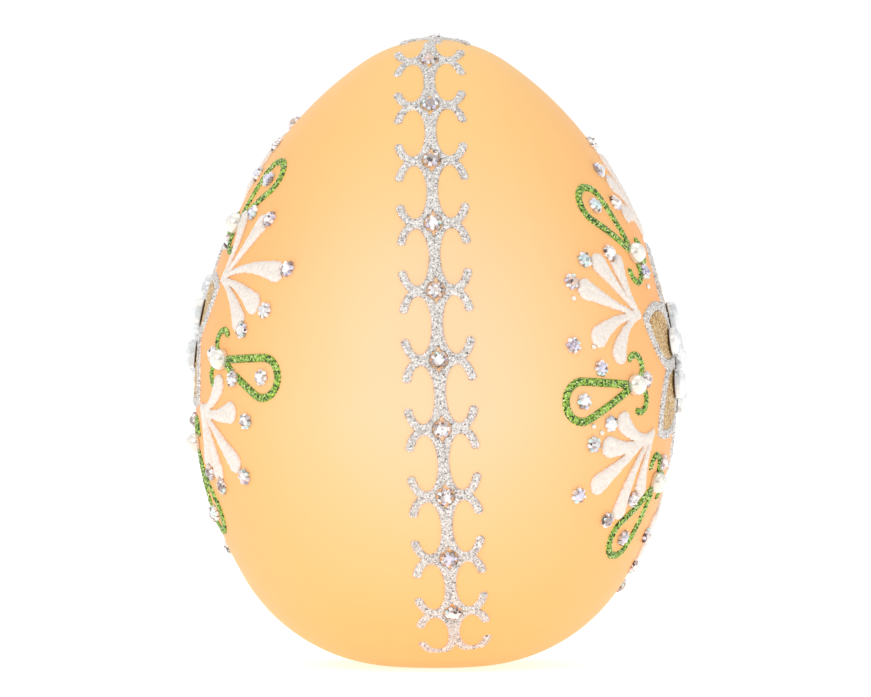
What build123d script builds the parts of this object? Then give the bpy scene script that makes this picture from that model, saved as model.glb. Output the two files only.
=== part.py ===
from build123d import *
import os
from math import asin, atan, atan2, cos, degrees, hypot, pi, radians, sin, sqrt, tan

# A hand-decorated, mouth-blown glass egg that stands free on its blunt end.
# Millimetres, +Z up. The origin is the centre of the resting ring, on the table plane.
# The glitter band runs up the front (-Y), over the pole and down the back (+Y); one round
# medallion of glitter, paint, pearls and stones is on the +X side and one on the -X side.

# ---------------------------------------------------------------- glass shell
EGG_HEIGHT = 150.0
# Tangent arcs of the outline from the pole down: radius, and the angle each one turns through.
UPPER_ARCS = ((30.3, 34.6), (85.5, 24.2), (107.0, 29.7))
BELLY_RADIUS = 84.2
RING_OUTER_R = 9.0
WALL = 1.6
FLOOR_TOP_Z = 2.6
FLOOR_EDGE_R = 7.4
RECESS_R = 6.2
RECESS_DEPTH = 1.0
BLOW_HOLE_R = 3.6

# ------------------------------------------------------------ blow-hole plug
PLUG_FLANGE_R = 5.6
PLUG_FLANGE_FOOT_Z = 0.25
PLUG_STEM_R = 3.5
PLUG_BEAD_R = 3.85
PLUG_BEAD_Z = 2.7
PLUG_BEAD_LEAD = 0.2
PLUG_TIP_R = 3.1
PLUG_TOP_Z = 3.5

# ------------------------------------------------------- glitter scroll band
CHAIN_NODES = 10
FIRST_NODE = 19.4  # over the glass from the pole
CHAIN_PITCH = 17.2
PITCH_SHRINK = 0.12  # the units get a little shorter down the egg
SCROLL_HALF_WIDTH = 3.9
SCROLL_OFFSET = 4.2  # scroll centre from the band's centre line
SCROLL_GAP = 0.25  # scroll end from the middle of the node
SCROLL_OPENING = 149.6  # angle each half scroll turns through from its stem
SCROLL_LAP = 0.3  # how far neighbouring nodes run into each other halfway along a stem
MOUTH_REACH = 2.5  # how far past the tip the opening is cut, in tip distances
BAND_LINE = 2.2
BAND_THICKNESS = 0.6
DRIFT_START = -1.35  # the hand-laid band wanders to one side on its way down
DRIFT = 5.4
DRIFT_POWER = 1.6
DRIFT_FROM = 20.0
DRIFT_LENGTH = 144.0

# ---------------------------------------------------------------- medallions
# Azimuth of the centre from the front towards +X, and its height.
MEDALLIONS = {"right": (90.0, 73.8), "left": (-100.0, 80.4)}
# The six loops, anticlockwise as seen from outside: distance and direction of the pearl from
# the medallion's centre, then distance and direction of the middle of the loop's round end.
LOOPS = {
    "right": (
        (35.3, 8.0, 52.1, 8.0),
        (35.3, 68.0, 52.1, 68.0),
        (34.6, 131.5, 51.2, 128.5),
        (36.2, 190.8, 54.3, 192.4),
        (35.2, 237.4, 52.2, 238.5),
        (35.3, 303.0, 52.1, 303.0),
    ),
    "left": (
        (38.9, -11.3, 56.2, -13.4),
        (35.7, 49.3, 50.3, 54.0),
        (35.0, 114.0, 51.5, 114.0),
        (35.0, 174.0, 51.5, 174.0),
        (35.0, 234.0, 51.5, 234.0),
        (30.5, 299.3, 48.2, 294.4),
    ),
}
# Directions of the fans between the loops.
FAN_ANGLES = {
    "right": (38.0, 98.0, 160.8, 213.4, 275.5, 338.0),
    "left": (24.0, 88.0, 144.0, 204.0, 263.0, 325.8),
}
LOBE_PHASE = {"right": 9.0, "left": -6.0}  # direction of a notch between two gold lobes

# Gold lobes and their silver outline
LOBES = 6
LOBE_STEP = 360.0 / LOBES
LOBE_TIP = 28.6
NOTCH_X = 14.3
TIP_LINE = 2.76  # width of the silver line at a lobe's tip
LOBE_ROOT = (4.2, 1.1)
GOLD_SHOULDER = 5.9
HUB_R = 3.4
GOLD_THICKNESS = 0.35
OUTLINE_THICKNESS = 0.6

# Flower of seven stones
PETAL_END_R = 3.5
PETAL_END_AT = 9.9
PETAL_POINT_AT = 4.3
PETAL_GIRDLE = 1.3
PETAL_CROWN = 1.1
PETAL_TAPER = 38.0
CENTRE_STONE_R = 3.3
CENTRE_STONE_GIRDLE = 1.5
CENTRE_STONE_CROWN = 1.3
STONE_LIFT = 0.7
PAD_R = 2.5
CENTRE_PAD_R = 2.1

# Green loops with two hooks
LOOP_R = 4.7
LOOP_LINE = 2.0
LOOP_THICKNESS = 0.6
HOOK_R = 2.9
HOOK_AHEAD = 1.8  # from the pearl towards the medallion's centre
HOOK_SIDE = 3.9
HOOK_LINE = 1.7
HOOK_FROM = -78.0
HOOK_TO = 125.0

# White plume fans
FAN_ROOT_AT = 30.8
PLUME_TAIL = 0.7
PLUME_WAIST = 1.15
PLUME_END_R = 2.7
PLUME_THICKNESS = 0.9
# Each plume: direction from the fan's own, distance of its round end, sideways bow.
# The fans are painted by hand, so the four that face the front have their own shapes.
EVEN_PLUMES = (
    (-15.0, 40.2, 1.6),
    (-10.0, 46.6, 1.0),
    (-0.5, 50.6, 0.5),
    (10.0, 47.0, -1.2),
    (15.0, 40.2, -1.6),
)
PLUMES = {
    ("right", 3): (
        (-15.3, 41.0, 1.2),
        (-10.9, 47.2, 0.8),
        (-1.6, 50.9, 0.8),
        (11.1, 47.1, -1.6),
        (16.1, 40.5, -2.0),
    ),
    ("right", 4): (
        (-10.6, 43.1, 2.4),
        (-5.5, 49.2, 1.6),
        (2.6, 54.5, -0.6),
        (14.3, 49.9, -2.2),
        (15.6, 41.0, -1.2),
    ),
    ("left", 1): (
        (-18.8, 43.2, 1.4),
        (-13.8, 48.1, 1.2),
        (-5.9, 54.8, 1.4),
        (10.6, 48.0, -1.4),
        (20.6, 39.6, -2.4),
    ),
    ("left", 6): (
        (-15.2, 40.2, 1.4),
        (-12.8, 46.4, 1.6),
        (-4.6, 52.8, 1.0),
        (7.6, 47.9, -1.4),
        (13.5, 40.6, -2.4),
    ),
}

# Stones and pearls
PEARL_R = 2.5
PEARL_CENTRE = 0.65
CRYSTAL_R = 2.05
CRYSTAL_CORE_R = 1.35
CRYSTAL_LOBES = 7
CRYSTAL_LOBE_R = 0.6
CRYSTAL_LOBE_TALL = 0.8
CRYSTAL_GIRDLE = 0.55
CRYSTAL_CROWN = 0.95
CRYSTAL_TAPER = 40.0
LOOP_CRYSTAL_BACK = 0.3  # from the middle of the loop's round end towards the pearl
PEARL_CRYSTAL_GAP = 5.6  # from the pearl towards the medallion's centre
# A crystal beyond each plume: direction from the fan's own and distance.
EVEN_FAN_CRYSTALS = ((-19.5, 44.0), (-12.5, 51.3), (-1.5, 56.5), (13.0, 52.3), (19.5, 44.6))
FAN_CRYSTALS = {
    ("right", 3): ((-18.5, 44.2), (-11.1, 51.9), (-2.9, 55.3), (15.7, 55.1), (22.5, 47.4)),
    ("right", 4): ((-12.5, 47.1), (-8.6, 53.6), (2.9, 61.0), (14.3, 55.1), (16.2, 45.4)),
    ("left", 1): ((-24.4, 45.6), (-18.5, 52.9), (-6.9, 58.5), (12.1, 51.2), (20.5, 43.9)),
    ("left", 6): ((-17.7, 43.4), (-15.5, 49.9), (-6.0, 57.7), (8.1, 53.9), (18.1, 45.5)),
}
FILM = 0.02  # glue film under a flat-backed stone
MICRO_PEARL_R = 0.65
# Tiny beads by two of the fans: direction from the fan's own and distance.
MICRO_PEARLS = {
    ("right", 3): ((-22.0, 26.5), (1.9, 54.4), (15.9, 49.0)),
    ("right", 4): ((-13.5, 52.4), (-10.9, 50.4)),
}
ROOM = 0.05  # clear space in the glitter and paint round every stone and bead

PRISM_REACH = 12.0
SETTLING_STEPS = 6  # rounds in which a distance over the glass settles
SEAM_TURN = 45.0


def outline_arcs():
    """The shell's outer outline from the pole to the resting ring, as tangent arcs.

    Each is centre r, centre z, radius, first heading and last heading. A heading is the angle
    of the outward normal away from +Z, in radians.
    """
    arcs = []
    r = 0.0
    z = EGG_HEIGHT
    heading = 0.0
    for radius, turn in UPPER_ARCS:
        centre_r = r - radius * sin(heading)
        centre_z = z - radius * cos(heading)
        last = heading + radians(turn)
        arcs.append((centre_r, centre_z, radius, heading, last))
        r = centre_r + radius * sin(last)
        z = centre_z + radius * cos(last)
        heading = last
    belly_r = r - BELLY_RADIUS * sin(heading)
    belly_z = z - BELLY_RADIUS * cos(heading)
    # The heel arc touches the belly arc from inside, and the table at the ring's outer edge.
    side = belly_r - RING_OUTER_R
    heel = (side**2 + belly_z**2 - BELLY_RADIUS**2) / (2 * (belly_z - BELLY_RADIUS))
    meeting = atan2(RING_OUTER_R - belly_r, heel - belly_z)
    arcs.append((belly_r, belly_z, BELLY_RADIUS, heading, meeting))
    arcs.append((RING_OUTER_R, heel, heel, meeting, pi))
    return arcs


OUTLINE = outline_arcs()


def outline_at(travel):
    """Radius, height and heading of the outline at a distance over the glass from the pole."""
    for centre_r, centre_z, radius, first, last in OUTLINE:
        heading = first + travel / radius
        if heading <= last:
            break
        travel -= radius * (last - first)
    return centre_r + radius * sin(heading), centre_z + radius * cos(heading), heading


def leave_glass(height, direction):
    """Where a ray from the egg's axis leaves the shell: distance along it, and heading there."""
    across = hypot(direction.X, direction.Y)
    for centre_r, centre_z, radius, first, last in OUTLINE:
        rise = centre_z - height
        along = across * centre_r + direction.Z * rise
        square = along**2 - (centre_r**2 + rise**2 - radius**2)
        if square < 0:
            continue
        distance = along + sqrt(square)
        heading = atan2(distance * across - centre_r, distance * direction.Z - rise)
        if first <= heading <= last:
            return distance, heading
    raise ValueError("the ray leaves through the resting ring")


def arc_edges(offset):
    """Edges of the outline, pole to resting ring, moved outward by an offset."""
    edges = []
    for centre_r, centre_z, radius, first, last in OUTLINE:
        reach = radius + offset
        points = [
            (centre_r + reach * sin(heading), 0, centre_z + reach * cos(heading))
            for heading in (first, (first + last) / 2, last)
        ]
        edges.append(ThreePointArc(*points))
    return edges


def revolved(edges):
    return revolve(Face(Wire(edges)), Axis.Z)


def egg_body(growth):
    """The whole egg as one solid block, grown outward by a coat's thickness.

    It is turned so that the surface's seam lies between a band and a medallion.
    """
    arcs = arc_edges(growth)
    foot = arcs[-1] @ 1
    top = arcs[0] @ 0
    corner = (0, 0, foot.Z)
    return revolved(arcs + [Line(foot, corner), Line(corner, top)]).rotate(Axis.Z, SEAM_TURN)


def coat(thickness):
    """A layer of even thickness lying on the glass, from the pole to the resting ring."""
    inner = arc_edges(0.0)
    outer = arc_edges(thickness)
    ends = [Line(inner[0] @ 0, outer[0] @ 0), Line(inner[-1] @ 1, outer[-1] @ 1)]
    return revolved(inner + outer + ends)


def laid_on(plane, sketch, layer):
    """A flat pattern pressed onto the glass at a tangent plane, as thick as the layer."""
    return plane.location * extrude(sketch, PRISM_REACH, both=True) & layer


def make_shell():
    """Thin glass egg, thickened round the blow hole, with a recess for the plug's flange."""
    outer = arc_edges(0.0)
    inner = arc_edges(-WALL)
    foot = outer[-1] @ 1
    floor = inner[-1] @ 1
    base = Polyline(
        foot,
        (RECESS_R, 0, 0),
        (RECESS_R, 0, RECESS_DEPTH),
        (BLOW_HOLE_R, 0, RECESS_DEPTH),
        (BLOW_HOLE_R, 0, FLOOR_TOP_Z),
        (FLOOR_EDGE_R, 0, FLOOR_TOP_Z),
        floor,
    )
    crown = Line(outer[0] @ 0, inner[0] @ 0)
    return revolved(outer + inner + base.edges() + [crown])


def make_plug():
    """Push-in plug: a flange in the recess, a stem in the hole and a bead that holds it."""
    outline = Polyline(
        (0, 0, PLUG_FLANGE_FOOT_Z),
        (PLUG_FLANGE_R, 0, PLUG_FLANGE_FOOT_Z),
        (PLUG_FLANGE_R, 0, RECESS_DEPTH),
        (PLUG_STEM_R, 0, RECESS_DEPTH),
        (PLUG_STEM_R, 0, PLUG_BEAD_Z),
        (PLUG_BEAD_R, 0, PLUG_BEAD_Z + PLUG_BEAD_LEAD),
        (PLUG_TIP_R, 0, PLUG_TOP_Z),
        (0, 0, PLUG_TOP_Z),
        close=True,
    )
    return revolved(outline.edges())


# ---------------------------------------------------------------- the band
def node_at(index):
    """Distance from the pole to a node of the band; node 0 is the pole itself."""
    if index == 0:
        return 0.0
    return FIRST_NODE + CHAIN_PITCH * (index - 1) - PITCH_SHRINK * (index - 1) ** 2


def drift_at(travel):
    """Sideways distance of the band's centre line, and its slope, at a distance from the pole."""
    share = max(0.0, travel - DRIFT_FROM) / DRIFT_LENGTH
    slope = DRIFT * DRIFT_POWER * share ** (DRIFT_POWER - 1) / DRIFT_LENGTH
    return DRIFT_START + DRIFT * share**DRIFT_POWER, slope


def band_plane(index):
    """Tangent plane at a node of the front band, its y axis pointing up the band."""
    travel = node_at(index)
    r, z, heading = outline_at(travel)
    drift, slope = drift_at(travel)
    turn = drift / r
    normal = Vector(sin(turn) * sin(heading), -cos(turn) * sin(heading), cos(heading))
    origin = Vector(r * sin(turn), -r * cos(turn), z)
    # A line at an even distance from the front meridian also leans, because the girth changes.
    lean = atan(slope - drift * cos(heading) / r)
    level = Vector(cos(turn), sin(turn), 0)
    x_dir = level * cos(lean) + normal.cross(level) * sin(lean)
    return Plane(origin=origin, x_dir=x_dir, z_dir=normal)


def half_scroll(half_pitch, side, up):
    """The half of one C-shaped scroll that belongs to a node: from its stem to its curled tip."""
    tall = half_pitch - SCROLL_GAP
    half_line = BAND_LINE / 2
    centre = Pos(side * SCROLL_OFFSET, up * half_pitch)
    tip_x = -side * SCROLL_HALF_WIDTH * cos(radians(SCROLL_OPENING))
    tip_y = -up * tall * sin(radians(SCROLL_OPENING))
    ring = Ellipse(SCROLL_HALF_WIDTH + half_line, tall + half_line)
    ring -= Ellipse(SCROLL_HALF_WIDTH - half_line, tall - half_line)
    wide = 2 * (SCROLL_HALF_WIDTH + BAND_LINE)
    keep = Pos(0, up * (SCROLL_LAP - half_pitch) / 2) * Rectangle(wide, half_pitch + SCROLL_LAP)
    beyond = up * 2 * SCROLL_LAP
    far_x = MOUTH_REACH * tip_x
    mouth = Polygon((0, 0), (far_x, MOUTH_REACH * tip_y), (far_x, beyond), (0, beyond), align=None)
    return centre * ((ring & keep) - mouth + Pos(tip_x, tip_y) * Circle(half_line))


def node_pattern(up_pitch, down_pitch):
    """The four half scrolls that meet round a node."""
    halves = [(up_pitch / 2, 1)]
    if down_pitch:
        halves.append((down_pitch / 2, -1))
    pattern = Sketch()
    for half_pitch, up in halves:
        for side in (-1, 1):
            pattern += half_scroll(half_pitch, side, up)
    return pattern


def make_front_band(layer):
    """Ten nodes of scrolls from the crown down, and the last pair's closing curls."""
    pieces = []
    for index in range(1, CHAIN_NODES + 2):
        up_pitch = node_at(index) - node_at(index - 1)
        down_pitch = node_at(index + 1) - node_at(index) if index <= CHAIN_NODES else 0.0
        pieces.append(laid_on(band_plane(index), node_pattern(up_pitch, down_pitch), layer))
    return pieces[0].fuse(*pieces[1:])


def make_crown_scroll(layer):
    """The node on the pole, where the front and back bands meet."""
    pole = Plane((0, 0, EGG_HEIGHT))
    return laid_on(pole, node_pattern(FIRST_NODE, FIRST_NODE), layer)


# ------------------------------------------------------------- medallions
def medallion_plane(side, distance, angle):
    """Tangent plane at a distance over the glass from a medallion's centre, in a direction.

    Its x axis points away from the medallion's centre.
    """
    azimuth, height = MEDALLIONS[side]
    turn = radians(azimuth)
    facing = Vector(sin(turn), -cos(turn), 0)
    level = Vector(cos(turn), sin(turn), 0)
    away = level * cos(radians(angle)) + Vector(0, 0, 1) * sin(radians(angle))
    near, _ = leave_glass(height, facing)
    far = near
    for _ in range(SETTLING_STEPS):
        tilt = 2 * distance / (near + far)
        direction = facing * cos(tilt) + away * sin(tilt)
        far, heading = leave_glass(height, direction)
    across = hypot(direction.X, direction.Y)
    outward = sin(heading) / across
    normal = Vector(direction.X * outward, direction.Y * outward, cos(heading))
    x_dir = away * cos(tilt) - facing * sin(tilt)
    x_dir -= normal * x_dir.dot(normal)
    return Plane(origin=Vector(0, 0, height) + direction * far, x_dir=x_dir, z_dir=normal)


def lobe(tip, shoulder, root):
    """Half-outline points of a pointed lobe, closed by two arcs meeting at the tip."""
    run = tip - NOTCH_X
    radius = (run**2 + shoulder**2) / (2 * shoulder)
    half = asin(run / radius) / 2
    bulge = (NOTCH_X + radius * sin(half), shoulder - radius * (1 - cos(half)))
    edges = [
        Line((root[0], -root[1]), (root[0], root[1])),
        Line((root[0], root[1]), (NOTCH_X, shoulder)),
        ThreePointArc((NOTCH_X, shoulder), bulge, (tip, 0)),
        ThreePointArc((tip, 0), (bulge[0], -bulge[1]), (NOTCH_X, -shoulder)),
        Line((NOTCH_X, -shoulder), (root[0], -root[1])),
    ]
    return make_face(edges)


def lobe_angles(side):
    """Direction of each gold lobe, and of the flower petal that lies on it."""
    return [LOBE_PHASE[side] + LOBE_STEP * (index + 0.5) for index in range(LOBES)]


def gold_pattern(side):
    lobes = Sketch()
    gold = lobe(LOBE_TIP - TIP_LINE, GOLD_SHOULDER, LOBE_ROOT)
    for angle in lobe_angles(side):
        lobes += Rot(0, 0, angle) * gold
    return lobes


def outline_pattern(side):
    """Silver line round the six lobes: it runs inward between them and meets in a hub."""
    spread = tan(radians(LOBE_STEP / 2))
    root = (HUB_R / 2, HUB_R / 2 * spread)
    whole = Sketch() + Circle(HUB_R)
    outer = lobe(LOBE_TIP, NOTCH_X * spread, root)
    for angle in lobe_angles(side):
        whole += Rot(0, 0, angle) * outer
    return whole - gold_pattern(side)


def centre_plane(side):
    """Tangent plane at a medallion's centre, its y axis pointing up."""
    return medallion_plane(side, 0.0, 0.0)


def teardrop(radius, reach):
    """A circle joined by its two tangents to a point at a distance along +X."""
    half = asin(radius / reach)
    touch = (radius * sin(half), radius * cos(half))
    return Circle(radius) + Polygon((reach, 0), touch, (touch[0], -touch[1]), align=None)


def stone(sketch, girdle, crown, taper):
    """A flat-backed cut stone: a straight girdle and a tapered crown with a flat table."""
    top = Pos(0, 0, girdle) * sketch
    return extrude(sketch, girdle) + extrude(top, crown, taper=taper)


def make_petals(side):
    shape = Rot(0, 0, 180) * teardrop(PETAL_END_R, PETAL_END_AT - PETAL_POINT_AT)
    petal = stone(shape, PETAL_GIRDLE, PETAL_CROWN, PETAL_TAPER)
    spots = [medallion_plane(side, PETAL_END_AT, angle) for angle in lobe_angles(side)]
    return [spot.offset(STONE_LIFT).location * petal for spot in spots]


def make_centre_stone(side):
    gem = stone(Circle(CENTRE_STONE_R), CENTRE_STONE_GIRDLE, CENTRE_STONE_CROWN, CRYSTAL_TAPER)
    return centre_plane(side).offset(STONE_LIFT).location * gem


def make_glue_pads(side, over_gold, over_silver):
    """Clear glue under each flower stone, filling the gap down to the glitter."""
    pads = []
    for angle in lobe_angles(side):
        spot = medallion_plane(side, PETAL_END_AT, angle)
        pads.append(spot.location * Cylinder(PAD_R, 2 * STONE_LIFT) - over_gold)
    pads.append(centre_plane(side).location * Cylinder(CENTRE_PAD_R, 2 * STONE_LIFT) - over_silver)
    return pads


def hook_line(arc):
    """A band of glitter along a circular arc, with round ends."""
    ends = Sketch()
    for share in (0, 1):
        spot = arc @ share
        ends += Pos(spot.X, spot.Y) * Circle(HOOK_LINE / 2)
    return trace(arc, HOOK_LINE) + ends


def loop_pattern(reach):
    """Teardrop loop of glitter from its round end to the pearl, with a hook on each side."""
    half_line = LOOP_LINE / 2
    narrow = asin(LOOP_R / reach)
    normal = (sin(narrow), cos(narrow))
    wide = LOOP_R + half_line
    legs = Polygon(
        (wide * normal[0], wide * normal[1]),
        (reach + half_line * normal[0], half_line * normal[1]),
        (reach + half_line * normal[0], -half_line * normal[1]),
        (wide * normal[0], -wide * normal[1]),
        align=None,
    )
    inside = teardrop(LOOP_R - half_line, reach * (LOOP_R - half_line) / LOOP_R)
    pattern = Circle(wide) + legs + Pos(reach, 0) * Circle(half_line) - inside
    turn = HOOK_TO - HOOK_FROM
    for side in (-1, 1):
        hook_centre = (reach + HOOK_AHEAD, side * HOOK_SIDE)
        pattern += hook_line(CenterArc(hook_centre, HOOK_R, side * HOOK_FROM, side * turn))
    # Drawn with the pearl on +X; on the egg the pearl is the end nearest the medallion's centre.
    return Rot(0, 0, 180) * Pos(-reach / 2, 0) * pattern


def loop_run(loop):
    """Length of a loop from its pearl to its round end, and its lean from straight outward."""
    pearl_at, pearl_angle, end_at, end_angle = loop
    aside = radians(end_angle - pearl_angle) * (pearl_at + end_at) / 2
    return hypot(aside, end_at - pearl_at), atan2(aside, end_at - pearl_at)


def make_loop(side, loop, layer, cutters):
    pearl_at, pearl_angle, end_at, end_angle = loop
    reach, lean = loop_run(loop)
    middle = medallion_plane(side, (pearl_at + end_at) / 2, (pearl_angle + end_angle) / 2)
    x_dir = middle.x_dir * cos(lean) + middle.y_dir * sin(lean)
    spot = Plane(origin=middle.origin, x_dir=x_dir, z_dir=middle.z_dir)
    return laid_on(spot, loop_pattern(reach), layer) - cutters


def pearl_crystal_plane(side, loop):
    """Tangent plane of the crystal on the inner side of a loop's pearl, in line with the loop."""
    pearl_at, pearl_angle = loop[:2]
    _, lean = loop_run(loop)
    distance = pearl_at - PEARL_CRYSTAL_GAP * cos(lean)
    aside = degrees(PEARL_CRYSTAL_GAP * sin(lean) / distance)
    return medallion_plane(side, distance, pearl_angle - aside)


def plume(angle, distance, bow, middle):
    """One tapered plume from the fan's root to its round end, in the plane at the fan's middle."""
    root = Vector(FAN_ROOT_AT - middle, 0)
    end = Vector(distance * cos(radians(angle)) - middle, distance * sin(radians(angle)))
    along = (end - root).normalized()
    across = Vector(-along.Y, along.X)
    waist = (root + end) / 2 + across * bow
    turned = (end - waist).normalized()
    side = Vector(-turned.Y, turned.X)
    upper = Spline(root + across * PLUME_TAIL, waist + across * PLUME_WAIST, end + side * PLUME_END_R)
    lower = Spline(end - side * PLUME_END_R, waist - across * PLUME_WAIST, root - across * PLUME_TAIL)
    cap = ThreePointArc(upper @ 1, end + turned * PLUME_END_R, lower @ 0)
    return make_face([upper, cap, lower, Line(lower @ 1, upper @ 0)])


def make_fan(side, index, layer, cutters):
    """Five plumes in one stroke of paint, laid round the stones and lines they meet."""
    plumes = PLUMES.get((side, index), EVEN_PLUMES)
    middle = (FAN_ROOT_AT + plumes[2][1]) / 2
    pattern = Sketch()
    for angle, distance, bow in plumes:
        pattern += plume(angle, distance, bow, middle)
    spot = medallion_plane(side, middle, FAN_ANGLES[side][index - 1])
    return laid_on(spot, pattern, layer) - cutters


def half_round(radius, centre):
    """A flat-backed bead: the part of a ball above its back, the ball's centre raised a little."""
    side = 3 * radius
    return Pos(0, 0, centre) * Sphere(radius) & Pos(0, 0, side / 2) * Box(side, side, side)


def make_crystal():
    """Flower-shaped cut stone: a tapered middle in a ring of round lobes."""
    lobes = Sketch() + Circle(CRYSTAL_CORE_R)
    for index in range(CRYSTAL_LOBES):
        turn = Rot(0, 0, 360 * index / CRYSTAL_LOBES)
        lobes += turn * Pos(CRYSTAL_R - CRYSTAL_LOBE_R, 0) * Circle(CRYSTAL_LOBE_R)
    core = stone(Circle(CRYSTAL_CORE_R), CRYSTAL_GIRDLE, CRYSTAL_CROWN, CRYSTAL_TAPER)
    return extrude(lobes, CRYSTAL_LOBE_TALL) + core


def placed(shape, planes):
    """A copy of a flat-backed piece glued on at each plane."""
    return [plane.offset(FILM).location * shape for plane in planes]


def rooms(radius, planes):
    """What is cut out of glitter and paint, so that a stone can stand on bare glass."""
    return [plane.location * Cylinder(radius + ROOM, 2 * PRISM_REACH) for plane in planes]


def write_part(name, shapes):
    if not isinstance(shapes, list):
        shapes = [shapes]
    solids = [solid for shape in shapes for solid in shape.solids()]
    part = solids[0] if len(solids) == 1 else Compound(solids)
    export_step(part, f"parts/{name}.step")
    print(name, len(solids), round(sum(solid.volume for solid in solids), 1))


def fan_crystal_planes(side):
    planes = []
    for index, angle in enumerate(FAN_ANGLES[side], start=1):
        for turn, distance in FAN_CRYSTALS.get((side, index), EVEN_FAN_CRYSTALS):
            planes.append(medallion_plane(side, distance, angle + turn))
    return planes


def write_medallion(side, layers, over_gold, over_silver):
    """Everything on one side of the egg."""
    centre = centre_plane(side)
    loops = LOOPS[side]
    fan_angles = FAN_ANGLES[side]
    pearl_planes = [medallion_plane(side, at, angle) for at, angle, _, _ in loops]
    pearl_crystal_planes = [pearl_crystal_plane(side, loop) for loop in loops]
    loop_crystal_planes = [
        medallion_plane(side, at - LOOP_CRYSTAL_BACK, angle) for _, _, at, angle in loops
    ]
    micro_planes = []
    for (bead_side, index), spots in MICRO_PEARLS.items():
        if bead_side == side:
            for turn, distance in spots:
                micro_planes.append(medallion_plane(side, distance, fan_angles[index - 1] + turn))
    crystal = make_crystal()
    stones = {
        "pearls": (half_round(PEARL_R, PEARL_CENTRE), PEARL_R, pearl_planes),
        "loop_crystals": (crystal, CRYSTAL_R, loop_crystal_planes),
        "pearl_crystals": (crystal, CRYSTAL_R, pearl_crystal_planes),
        "fan_crystals": (crystal, CRYSTAL_R, fan_crystal_planes(side)),
    }
    if micro_planes:
        stones["micro_pearls"] = (half_round(MICRO_PEARL_R, 0.0), MICRO_PEARL_R, micro_planes)
    cutters = []
    for kind, (shape, radius, planes) in stones.items():
        cutters += rooms(radius, planes)
        write_part(f"{side}_{kind}", placed(shape, planes))
    outline = laid_on(centre, outline_pattern(side), layers["outline"])
    cutters.append(outline)
    lines = [make_loop(side, loop, layers["loop"], cutters) for loop in loops]
    write_part(f"{side}_gold_lobes", laid_on(centre, gold_pattern(side), layers["gold"]))
    write_part(f"{side}_lobe_outline", outline)
    write_part(f"{side}_glue_pads", make_glue_pads(side, over_gold, over_silver))
    write_part(f"{side}_flower_petals", make_petals(side))
    write_part(f"{side}_flower_centre", make_centre_stone(side))
    for index, line in enumerate(lines, start=1):
        write_part(f"{side}_loop_{index}", line)
    cutters += lines
    for index in range(1, len(fan_angles) + 1):
        write_part(f"{side}_fan_{index}", make_fan(side, index, layers["plume"], cutters))


def main():
    os.makedirs("parts", exist_ok=True)
    write_part("glass_shell", make_shell())
    write_part("blow_hole_plug", make_plug())

    crystal = make_crystal()
    band_planes = [band_plane(index) for index in range(1, CHAIN_NODES + 1)]
    pole = Plane((0, 0, EGG_HEIGHT))
    front_crystals = placed(crystal, band_planes)
    crown_crystal = placed(crystal, [pole])
    band_layer = coat(BAND_THICKNESS)
    front_band = make_front_band(band_layer)
    back_band = front_band.rotate(Axis.Z, 180.0)
    crown_scroll = make_crown_scroll(band_layer) - front_band - back_band - rooms(CRYSTAL_R, [pole])
    front_band -= rooms(CRYSTAL_R, band_planes)
    write_part("front_band", front_band)
    write_part("back_band", front_band.rotate(Axis.Z, 180.0))
    write_part("crown_scroll", crown_scroll)
    write_part("crown_crystal", crown_crystal)
    write_part("front_band_crystals", front_crystals)
    write_part("back_band_crystals", [gem.rotate(Axis.Z, 180.0) for gem in front_crystals])

    layers = {
        "gold": coat(GOLD_THICKNESS),
        "outline": coat(OUTLINE_THICKNESS),
        "loop": coat(LOOP_THICKNESS),
        "plume": coat(PLUME_THICKNESS),
    }
    over_gold = egg_body(GOLD_THICKNESS)
    over_silver = egg_body(OUTLINE_THICKNESS)
    for side in MEDALLIONS:
        write_medallion(side, layers, over_gold, over_silver)


main()
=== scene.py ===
import math
from itertools import repeat

import bpy
import numpy as np
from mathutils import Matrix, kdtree


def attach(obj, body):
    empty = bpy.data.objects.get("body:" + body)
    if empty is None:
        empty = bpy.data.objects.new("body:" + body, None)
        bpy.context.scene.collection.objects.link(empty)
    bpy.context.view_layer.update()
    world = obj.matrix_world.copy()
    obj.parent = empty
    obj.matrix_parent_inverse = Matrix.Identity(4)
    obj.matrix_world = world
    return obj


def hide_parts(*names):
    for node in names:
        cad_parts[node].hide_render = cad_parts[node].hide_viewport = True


# The looks of a decorated glass egg. Shapes are worked out in millimetres in the CAD's own
# frame and turned into metres when a mesh is made. The raised lines and plumes grow on the
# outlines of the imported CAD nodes, and stones and beads stand where the CAD stones stand.

MM = 0.001
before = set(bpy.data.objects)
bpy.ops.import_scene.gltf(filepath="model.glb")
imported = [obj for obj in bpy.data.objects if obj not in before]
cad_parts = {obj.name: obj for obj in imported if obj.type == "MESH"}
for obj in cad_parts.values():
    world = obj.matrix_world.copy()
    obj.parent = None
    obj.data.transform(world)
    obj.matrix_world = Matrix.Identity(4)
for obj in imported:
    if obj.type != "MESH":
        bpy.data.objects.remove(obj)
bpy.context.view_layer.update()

# --- the glass outline ---
EGG_HEIGHT = 150.0
# Tangent arcs from the pole down: radius, and the angle each one turns through.
UPPER_ARCS = ((30.3, 34.6), (85.5, 24.2), (107.0, 29.7))
BELLY_RADIUS = 84.2
RING_OUTER_R = 9.0
WALL = 1.6
# The thickened floor: recess for the plug's flange and the blow hole.
FLOOR = ((6.2, 0.0), (6.2, 1.0), (3.6, 1.0), (3.6, 2.6), (7.4, 2.6))
GLASS_SEGMENTS = 224
ARC_STEPS = 30
CREASE = math.radians(35.0)  # smooth shading stops at edges sharper than this
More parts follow.
